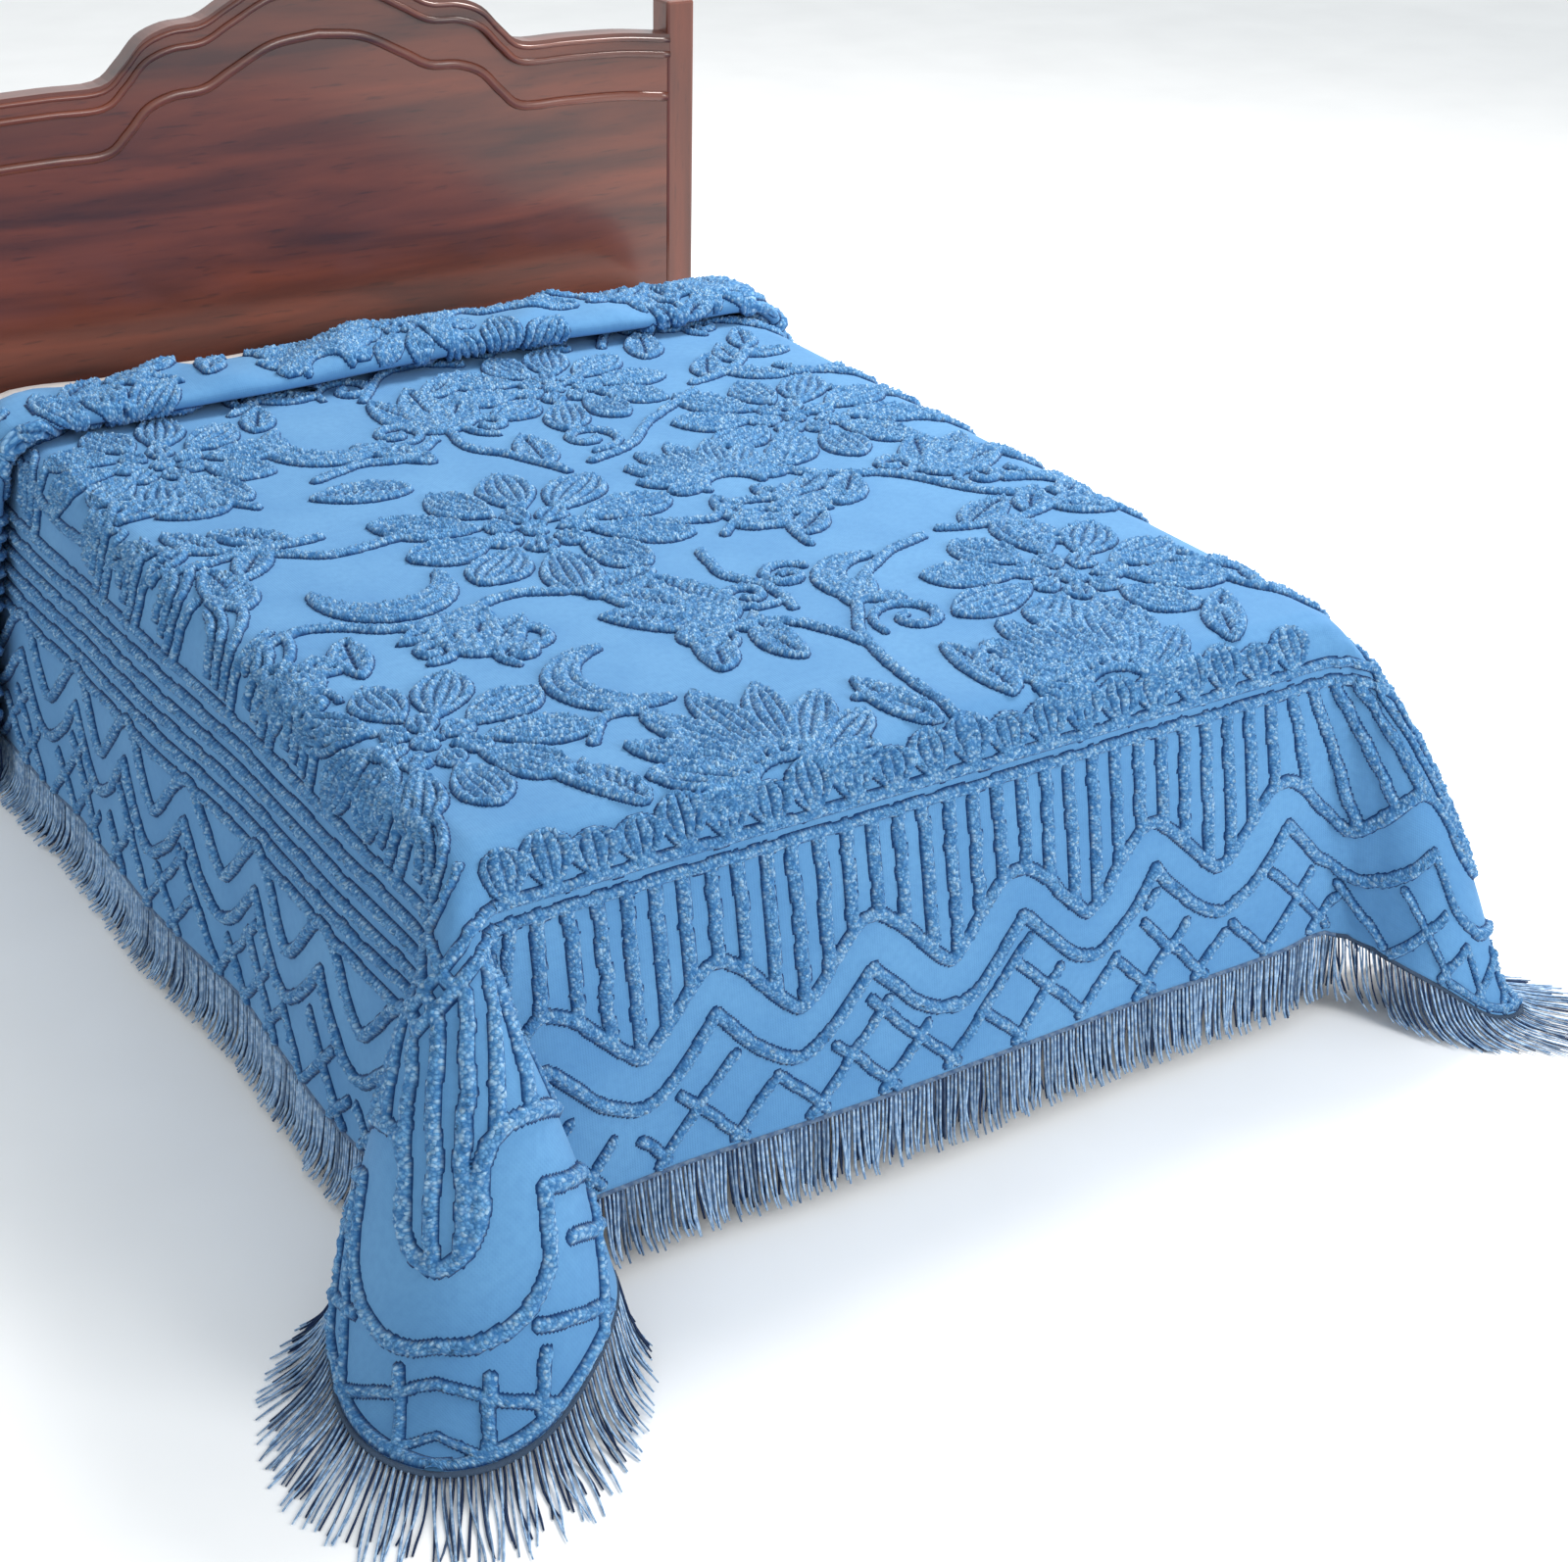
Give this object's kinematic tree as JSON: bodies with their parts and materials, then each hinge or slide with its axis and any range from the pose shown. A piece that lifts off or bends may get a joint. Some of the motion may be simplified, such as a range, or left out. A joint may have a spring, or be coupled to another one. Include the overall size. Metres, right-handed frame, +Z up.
{
  "type": "chenille bedspread on a bed",
  "caption": "Tufted chenille bedspread with rounded foot corners and a long fringe, draped over a plain bed with an arched wooden headboard.",
  "frame": {"origin": "the middle of the bed base's underside, on the floor", "axes": "+Z up, +Y from the foot of the bed to its head, +X to the right seen from the foot"},
  "size_m": [2.2283, 2.5951, 1.318],
  "materials": {
    "chenille_cloth": "tufted cotton chenille, soft and matte",
    "cotton_fringe": "twisted cotton strands, matte",
    "white_sheet": "plain woven cotton",
    "base_cover": "plain woven cover",
    "mahogany": "polished red-brown wood"
  },
  "bodies": {
    "root": {"bedspread": "chenille_cloth", "fringe_left_side": "cotton_fringe", "fringe_left_corner": "cotton_fringe", "fringe_foot": "cotton_fringe", "fringe_right_corner": "cotton_fringe", "fringe_right_side": "cotton_fringe", "mattress": "white_sheet", "bed_base": "base_cover", "headboard_panel": "mahogany", "headboard_rail": "mahogany", "headboard_post_left": "mahogany", "headboard_post_right": "mahogany"}
  },
  "joints": []
}
